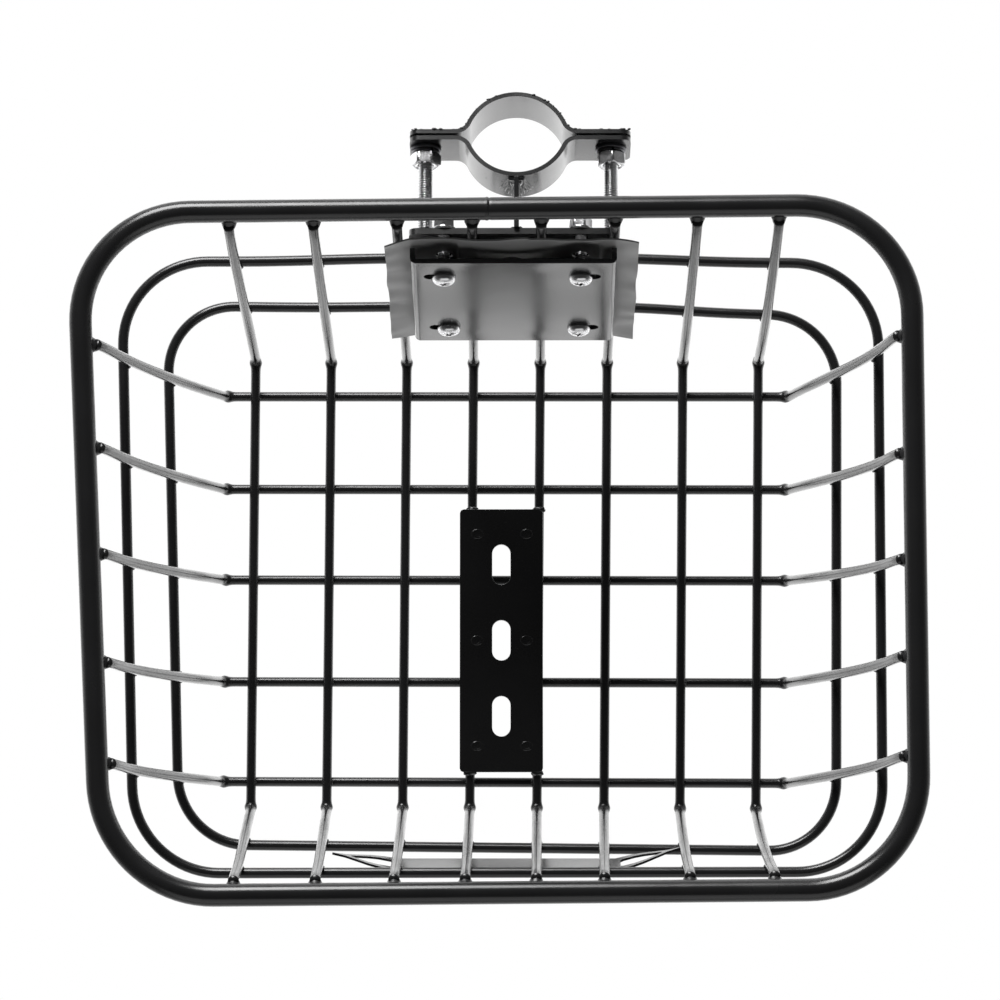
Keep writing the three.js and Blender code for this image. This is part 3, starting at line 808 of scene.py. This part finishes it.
def make_web():
    near, far = BRACKET_REAR - 0.2, EAR_IN - CROWN - STRAP_THICK / 2 + 0.2
    low, top = STRAP_U - WEB_HALF, STRAP_U + WEB_HALF
    foot = low - WEB_DEEP
    outline = [(near, foot), (near + 4, foot), (far, low), (far, top), (near, top)]
    shape = slab(Shape(), outline, CLAMP_X - 1, CLAMP_X + 1, "yz")
    make_piece("bracket_web_plate", shape, REAR, PLATE_PAINT, replaces=["bracket_web"], bevel=0.3)


# ---- stem clamp
def strap_path(ear, side):
    """A strap's middle line: two flat ears and a half ring, with easy bends between them."""
    mid, shoulder = STRAP_MID, STRAP_SHOULDER
    offset = STRAP_OFFSET if side > 0 else mid - CROWN
    sx = math.sqrt((mid + shoulder) ** 2 - (offset + shoulder) ** 2)
    meet = math.atan2(shoulder + offset, sx)
    way = arc(0, -offset, mid, math.pi / 2, meet, 26)
    way += arc(sx, shoulder, shoulder, meet + math.pi, 1.5 * math.pi, 10)[1:]
    full = [(-a, b) for a, b in way[:0:-1]] + way
    full = [(-EAR_LEFT, 0.0)] + full + [(EAR_RIGHT, 0.0)]
    return [(CLAMP_X + a, ear + side * b) for a, b in full]


def make_strap(name, ear, side, body):
    outline = ribbon(strap_path(ear, side), STRAP_THICK)
    shape = slab(Shape(), outline, STRAP_U + STRAP_LOW, STRAP_U + STRAP_TOP, "xy")
    strap = make_piece(
        f"{name}_bent", shape, REAR, CLAMP_PAINT, body=body, replaces=[name], bevel=0.75
    )
    middle_x = CLAMP_X + (EAR_RIGHT - EAR_LEFT) / 2
    middle_u = STRAP_U + (STRAP_LOW + STRAP_TOP) / 2
    ends = rounded_box_outline((EAR_LEFT + EAR_RIGHT) / 2, (STRAP_TOP - STRAP_LOW) / 2, 4, 8)
    ends = [(middle_x + a, middle_u + b) for a, b in ends]
    carve(strap, [(slab(Shape(), ends, 0, 100), REAR)], "INTERSECT")


def crown_drop(x):
    """How far the inner strap's outer face falls away at x from its crown."""
    outer = STRAP_BORE + STRAP_THICK
    return outer - math.sqrt(max(outer * outer - x * x, 0))


def make_edge_spatter():
    """Grit and small spatter caught along the outer strap's upper edge."""
    shape = Shape()
    draw = np.random.default_rng(23)
    path = strap_path(EAR_OUT, 1)
    seed = 900
    for (ax, ay), (bx, by) in zip(path, path[1:]):
        for _ in range(max(1, int(math.dist((ax, ay), (bx, by)) / 1.1))):
            seed += 1
            part = draw.uniform(0, 1)
            x, y = ax + (bx - ax) * part, ay + (by - ay) * part
            if abs(x - CLAMP_X) < 6 or draw.uniform(0, 1) < 0.25:
                continue
            size = draw.uniform(0.15, 0.5)
            rise = STRAP_U + STRAP_TOP - draw.uniform(0, 1.4)
            place = (x, y + STRAP_THICK / 2 + draw.uniform(-0.3, 0.2), rise)
            lump(shape, place, (size * 2, size, size), seed, 0.3)
    make_piece("clamp_strap_outer_grit", shape, REAR, WELD_PAINT, body="clamp_cap")


def make_clamp_welds():
    """Weld where the web meets the strap's crown: a lump, drawn-out runs, and spatter."""
    shape = Shape()
    seed = 700
    crown = EAR_IN - CROWN - STRAP_THICK / 2
    lump(shape, (CLAMP_X, crown - 0.2, STRAP_U + 8.2), (3.4, 1.3, 1.8), seed, 0.4)
    for side in (-1, 1):
        lump(shape, (CLAMP_X + side * 1.5, crown, STRAP_U + 4.5), (1.1, 1.1, 4.0), seed + side, 0.4)
        for k in range(5):
            seed += 2
            foot = 2.2 + 1.15 * k
            path, scales = [], []
            for j in range(9):
                t = j / 8
                x = side * (0.9 + 0.3 * k + (foot - 0.9 - 0.3 * k) * t)
                x += 0.3 * noise.noise(Vector((seed, 3.0 * t, 0)))
                u = STRAP_U + 8.5 - (20.0 - 1.6 * k) * t
                path.append((CLAMP_X + x, crown + crown_drop(x) + 0.1, u))
                scales.append((0.7 + 0.5 * math.sin(9 * t + seed), 1.1 - 0.5 * t))
            sweep(shape, path, (1, 0, 0), 0.42, 10, False, scales)
        for k in range(8):
            seed += 2
            place = (CLAMP_X + side * 1.35, BRACKET_REAR + 0.4, STRAP_U + 5 - 3.5 * k)
            lump(shape, place, (1.3, 0.9, 1.9), seed, 0.3)
    draw = np.random.default_rng(11)
    for _ in range(30):
        seed += 1
        x = CLAMP_X + draw.normal(0, 6.5)
        u = STRAP_U + draw.uniform(-8, 9)
        size = draw.uniform(0.25, 0.55)
        place = (x, crown + crown_drop(x - CLAMP_X) + 0.25, u)
        lump(shape, place, (size, size * 0.7, size), seed, 0.2)
    make_piece("clamp_welds", shape, REAR, WELD_PAINT)


# ---- fasteners
def at(x, u, turn=0.0):
    """A place on the rear wall's plates, turned about Y."""
    return Matrix.Translation((x, 0, u)) @ Matrix.Rotation(turn, 4, "Y")


def thread(shape, place, radius, pitch, start, end, sides=32):
    """Adds a rod with a helical thread from start to end along Y, chamfered at its start."""
    depth = 0.61 * pitch
    steps = int((end - start) / pitch * 8)
    profile = [(radius, y) for y in np.linspace(start, end, steps + 1)]
    profile = [(0, start)] + profile + [(0, end)]

    def cut(r, y, turn):
        if r < radius:
            return r
        phase = (y / pitch - turn / (2 * math.pi)) % 1.0
        groove = depth * (1 - abs(2 * phase - 1)) ** 0.8
        taper = max(0.0, 1.0 - (y - start)) * 0.7
        return radius - min(groove + taper, depth + 0.3)

    return lathe(shape, profile, place, sides, cut)


def hex_ring(shape, place, flats, bore, low, high, sides=72):
    """Adds a chamfered hexagon nut with a round bore between two Y heights."""
    inner, outer = flats / 2 * 0.94, flats / math.sqrt(3)
    steps = 7
    rise = []
    for i in range(steps + 1):
        gain = (outer - inner) * i / steps
        rise.append((inner + gain, 0.577 * gain))
    profile = [(bore, low + 0.5), (bore + 0.5, low)]
    profile += [(r, low + h) for r, h in rise]
    profile += [(r, high - h) for r, h in reversed(rise)]
    profile += [(bore + 0.5, high), (bore, high - 0.5), (bore, low + 0.5)]

    def hexagon(r, y, turn):
        wedge = (turn + math.pi / 6) % (math.pi / 3) - math.pi / 6
        return min(r, flats / 2 / math.cos(wedge))

    return lathe(shape, profile, place, sides, hexagon)


def flat_ring(shape, place, bore, radius, low, high, edge=0.15):
    profile = [
        (bore, low + edge), (bore + edge, low), (radius - edge, low), (radius, low + edge),
        (radius, high - edge), (radius - edge, high), (bore + edge, high), (bore, high - edge),
        (bore, low + edge),
    ]
    return lathe(shape, profile, place, 56)


def spring_ring(shape, place, bore, radius, low, thick, gap=0.16, lift=0.35):
    """Adds a split spring washer: a square bar turned almost once, its ends stepped."""
    points, faces = [], []
    steps = 60
    for i in range(steps + 1):
        part = i / steps
        turn = gap / 2 + (2 * math.pi - gap) * part + math.pi / 2
        shift = (part - 0.5) * lift
        for r, y in ((bore, 0), (radius, 0), (radius, thick), (bore, thick)):
            p = Vector((r * math.cos(turn), low + shift + y, r * math.sin(turn)))
            points.append(place @ p)
    for i in range(steps):
        for k in range(4):
            m = (k + 1) % 4
            faces.append((4 * i + k, 4 * i + m, 4 * i + 4 + m, 4 * i + 4 + k))
    faces += [(0, 1, 2, 3), tuple(4 * steps + k for k in (3, 2, 1, 0))]
    return shape.add(points, faces)


def make_plate_screw(i, x, u, turn):
    seat = CHANNEL_FACE
    place = at(x, u, turn)
    head = Shape()
    profile = [
        (0, seat - 3.4), (1.2, seat - 3.38), (2.4, seat - 3.2), (3.4, seat - 2.8),
        (4.1, seat - 2.2), (4.55, seat - 1.5), (4.72, seat - 0.8), (4.75, seat - 0.3), (4.6, seat),
        (SCREW_RADIUS, seat), (SCREW_RADIUS, seat + 1.5), (0, seat + 1.5),
    ]
    lathe(head, profile, place, 56)
    screw = make_piece(f"plate_screw_{i}_head", head, REAR, ZINC, replaces=[f"plate_screw_{i}"])
    for arm in (0, math.pi / 2):
        wide, narrow, thick = 2.5, 0.8, 0.5
        outline = [(-wide, seat - 5), (wide, seat - 5), (narrow, seat - 1.6), (-narrow, seat - 1.6)]
        points = [(a, b, z) for z in (-thick, thick) for a, b in outline]
        faces = [(0, 1, 2, 3), (7, 6, 5, 4), (0, 4, 5, 1), (1, 5, 6, 2), (2, 6, 7, 3), (3, 7, 4, 0)]
        carve(screw, [(Shape().add(points, faces), REAR @ place @ Matrix.Rotation(arm, 4, "Y"))])
    round_edges(screw, 0.12, 40)
    start, end = -(seat + SCREW_LONG), -(seat + 1.0)
    rod = thread(Shape(), MIRROR_Y @ at(x, u), SCREW_RADIUS, SCREW_PITCH, start, end)
    make_piece(f"plate_screw_{i}_thread", rod, REAR, THREAD_ZINC)
    washer = flat_ring(Shape(), place, 2.7, 5, BRACKET_REAR, BRACKET_REAR + 1)
    make_piece(f"plate_washer_{i}_flat", washer, REAR, ZINC, replaces=[f"plate_washer_{i}"])
    low, high = BRACKET_REAR + 1, BRACKET_REAR + 5
    nut = hex_ring(Shape(), at(x, u, turn * 2), SCREW_NUT_FLATS, SCREW_RADIUS, low, high)
    make_piece(f"plate_nut_{i}_hex", nut, REAR, ZINC, replaces=[f"plate_nut_{i}"])


def make_clamp_fasteners(side, x, turn):
    """A carriage bolt that rides with the outer strap, and the washers and nut behind."""
    seat = EAR_OUT + STRAP_THICK / 2
    head = Shape()
    profile = [
        (0, seat + 3.2), (1.6, seat + 3.1), (3.2, seat + 2.7), (4.7, seat + 2.0), (5.8, seat + 1.1),
        (6.4, seat + 0.4), (6.5, seat), (BOLT_RADIUS, seat), (BOLT_RADIUS, seat - 2), (0, seat - 2),
    ]
    lathe(head, profile, at(x, STRAP_U), 56)
    make_piece(
        f"clamp_bolt_{side}_head", head, REAR, ZINC,
        body="clamp_cap", replaces=[f"clamp_bolt_{side}"],
    )
    start = seat - BOLT_LONG
    rod = thread(Shape(), at(x, STRAP_U), BOLT_RADIUS, BOLT_PITCH, start, seat - 1.5, 36)
    make_piece(f"clamp_bolt_{side}_thread", rod, REAR, THREAD_ZINC, body="clamp_cap")
    face = EAR_IN - STRAP_THICK / 2
    # Both washers use the darkened zinc copy, whose dark colour is painted shade.
    washer = flat_ring(Shape(), at(x, STRAP_U), 3.2, 6.2, face - 1.2, face)
    make_piece(
        f"clamp_washer_{side}_flat", washer, REAR, WASHER_ZINC_PAINTED_SHADE, replaces=[f"clamp_washer_{side}"]
    )
    spring = spring_ring(Shape(), at(x, STRAP_U, turn), 3.2, 5.6, face - 2.35, 1.0)
    make_piece(
        f"clamp_lock_washer_{side}_split", spring, REAR, WASHER_ZINC_PAINTED_SHADE,
        replaces=[f"clamp_lock_washer_{side}"], bevel=0.15,
    )
    place = at(x, STRAP_U, turn)
    nut = hex_ring(Shape(), place, NUT_FLATS, NUT_BORE, face - 7.7, face - 2.55)
    make_piece(
        f"clamp_nut_{side}_hex", nut, REAR, ZINC, body=f"nut_{side}", replaces=[f"clamp_nut_{side}"]
    )


# ---- rubber pad
def pad_depth(x, u):
    """How far the creased sheet's middle lies from the wires' centre line, along Y."""
    p = Vector((x * 0.045, u * 0.045, 3.1))
    waves = 0.35 * noise.noise(p * 1.3) + 0.2 * noise.noise(p * 3.1)
    wing = max(0.0, (abs(x) - 40.5) / 9.5)
    top = max(0.0, (u - 46.0) / 10.0)
    fold = noise.noise(Vector((x * 0.03, u * 0.09, 7.7 if x > 0 else 2.2)))
    depth = PAD_DEPTH + 0.25 * waves
    depth += wing * (-1.7 + 2.2 * fold - 0.8 * waves)
    depth += top * (0.5 * math.sin(x * 0.16 + 0.6) + 0.9 * waves - 0.2)
    level = math.exp(-(((u - 45.0) / 7.0) ** 2))
    for centre, amount, spread in ((-27, 1.5, 10), (27, 1.5, 10), (0, -1.7, 12)):
        depth += level * amount * math.exp(-(((x - centre) / spread) ** 2))
    for sx, su in SCREW_PLACES:
        depth += 2.0 * math.exp(-(((x - sx) / 9.0) ** 2) - ((u - su) / 13.0) ** 2)
    clear = -(WIRE_RADIUS + 0.9)
    wires = min(abs(x + PLATES_X - w) for w in LONG_X)
    return min(depth, clear) if wires < 3.5 else depth


def make_rubber_pad():
    xs = np.arange(-PAD_HALF_X, PAD_HALF_X + PAD_STEP / 2, PAD_STEP)
    us = np.arange(PAD_LOW, PAD_HIGH + PAD_STEP / 2, PAD_STEP)
    shape = Shape()
    front, back = [], []
    for u in us:
        for x in xs:
            edge_u, edge_x = u, x
            if u > PAD_HIGH - 3 or u < PAD_LOW + 3:
                edge_u += 0.9 * noise.noise(Vector((x * 0.05, 9.0, 0)))
            if abs(x) > PAD_HALF_X - 3:
                edge_x += 0.8 * noise.noise(Vector((4.0, u * 0.05, 0)))
            y = pad_depth(x, u)
            front.append((edge_x, y - PAD_THICK / 2, edge_u))
            back.append((edge_x, y + PAD_THICK / 2, edge_u))
    nx, nu = len(xs), len(us)
    points = front + back
    side = len(front)
    faces = []
    for j in range(nu - 1):
        for i in range(nx - 1):
            a, b = j * nx + i, j * nx + i + 1
            c, d = b + nx, a + nx
            faces.append((a, b, c, d))
            faces.append((side + a, side + d, side + c, side + b))
    rim = list(range(nx))
    rim += [j * nx + nx - 1 for j in range(1, nu)]
    rim += [(nu - 1) * nx + i for i in range(nx - 2, -1, -1)]
    rim += [j * nx for j in range(nu - 2, 0, -1)]
    for a, b in zip(rim, rim[1:] + rim[:1]):
        faces.append((a, side + a, side + b, b))
    shape.add(points, faces)
    pad = make_piece("rubber_pad_sheet", shape, REAR, RUBBER, replaces=["rubber_pad"], bevel=0.3)
    pad.modifiers["edges"].angle_limit = math.radians(55)
    holes = [round_hole(x, u, 3.4, 28, -9, 4) for x, u in SCREW_PLACES]
    holes.append(round_hole(0, 33, 4, 28, -9, 4))
    carve(pad, holes)


# ---- stage
def make_floor():
    """A white table: even white where it is seen, and darker far off for what it lights."""
    mesh = bpy.data.meshes.new("floor")
    work = bmesh.new()
    bmesh.ops.create_grid(work, x_segments=8, y_segments=8, size=6.0)
    work.to_mesh(mesh)
    work.free()
    floor = new_object("floor", mesh)
    material, nodes, links, shader = new_material("pale_floor")
    shader.inputs["Base Color"].default_value = (0.75, 0.75, 0.75, 1)
    shader.inputs["Roughness"].default_value = 0.9
    shader.inputs["Specular IOR Level"].default_value = 0.0
    shader.inputs["Emission Color"].default_value = (1, 1, 1, 1)
    place = nodes.new("ShaderNodeNewGeometry")
    far = nodes.new("ShaderNodeVectorMath")
    far.operation = "LENGTH"
    links.new(place.outputs["Position"], far.inputs[0])
    links.new(
        add_range(nodes, links, far.outputs["Value"], 1.3, 0.26, 0.2, 0.5),
        shader.inputs["Emission Strength"],
    )
    seen = nodes.new("ShaderNodeEmission")
    seen.inputs["Strength"].default_value = 1.0
    path = nodes.new("ShaderNodeLightPath")
    mix = nodes.new("ShaderNodeMixShader")
    links.new(path.outputs["Is Camera Ray"], mix.inputs[0])
    links.new(shader.outputs[0], mix.inputs[1])
    links.new(seen.outputs[0], mix.inputs[2])
    links.new(mix.outputs[0], nodes["Material Output"].inputs["Surface"])
    mesh.materials.append(material)


def make_world():
    """Pale near and under the horizon, dark overhead."""
    world = bpy.data.worlds.new("studio")
    bpy.context.scene.world = world
    world.use_nodes = True
    nodes, links = world.node_tree.nodes, world.node_tree.links
    place = nodes.new("ShaderNodeTexCoord")
    split = nodes.new("ShaderNodeSeparateXYZ")
    ramp = nodes.new("ShaderNodeValToRGB")
    links.new(place.outputs["Generated"], split.inputs["Vector"])
    links.new(split.outputs["Z"], ramp.inputs["Fac"])
    links.new(ramp.outputs["Color"], nodes["Background"].inputs["Color"])
    stops = ramp.color_ramp.elements
    stops[0].position, stops[0].color = 0.0, (0.28, 0.28, 0.28, 1)
    stops[1].position, stops[1].color = 1.0, (0.04, 0.04, 0.04, 1)
    for position, grey in HORIZON:
        stop = stops.new(position)
        stop.color = (grey, grey, grey, 1)
    nodes["Background"].inputs["Strength"].default_value = 1.0


def add_softbox(name, place, size_x, size_y, power):
    data = bpy.data.lights.new(name, "AREA")
    data.shape = "RECTANGLE"
    data.size, data.size_y = size_x, size_y
    data.energy = power
    lamp = new_object(name, data)
    lamp.location = place
    way = Vector(LAMP_TARGET) - Vector(place)
    lamp.rotation_euler = way.to_track_quat("-Z", "Y").to_euler()


def make_camera():
    data = bpy.data.cameras.new("camera")
    data.sensor_width = 36.0
    data.lens = CAMERA_LENS
    data.clip_end = 20.0
    camera = new_object("camera", data)
    camera.location = CAMERA_PLACE
    turn = Matrix.Rotation(CAMERA_ROLL, 4, "Y") @ Matrix.Rotation(CAMERA_PITCH, 4, "X")
    camera.rotation_euler = turn.to_euler()
    bpy.context.scene.camera = camera


# ---- build
make_rim()
make_ring("upper_ring", UPPER_Z, UPPER_CORNER)
make_ring("lower_ring", LOWER_Z, LOWER_CORNER)
make_wires("long", LONG_X, long_wire_place, (LONG_FOOT, END_TOP, LONG_Z), (1, 0, 0))
make_wires("cross", CROSS_Y, cross_wire_place, (CROSS_FOOT, SIDE_TOP, CROSS_Z), (0, -1, 0))
make_floor_welds()
make_ring_welds()
make_rim_welds()
make_stay_plate()
make_stay_welds()
make_bracket_plate()
make_web()
make_inner_channel()
make_front_plate()
make_strap("clamp_strap_inner", EAR_IN, -1, "basket")
make_strap("clamp_strap_outer", EAR_OUT, 1, "clamp_cap")
make_clamp_welds()
make_edge_spatter()
for index, (screw_place, screw_turn) in enumerate(zip(SCREW_PLACES, SCREW_TURNS), 1):
    make_plate_screw(index, *screw_place, screw_turn)
for bolt in zip(("left", "right"), BOLT_X, BOLT_TURNS):
    make_clamp_fasteners(*bolt)
make_rubber_pad()

make_floor()
make_world()
for lamp in LAMPS:
    add_softbox(*lamp)
make_camera()
bpy.context.scene.view_settings.view_transform = "Standard"
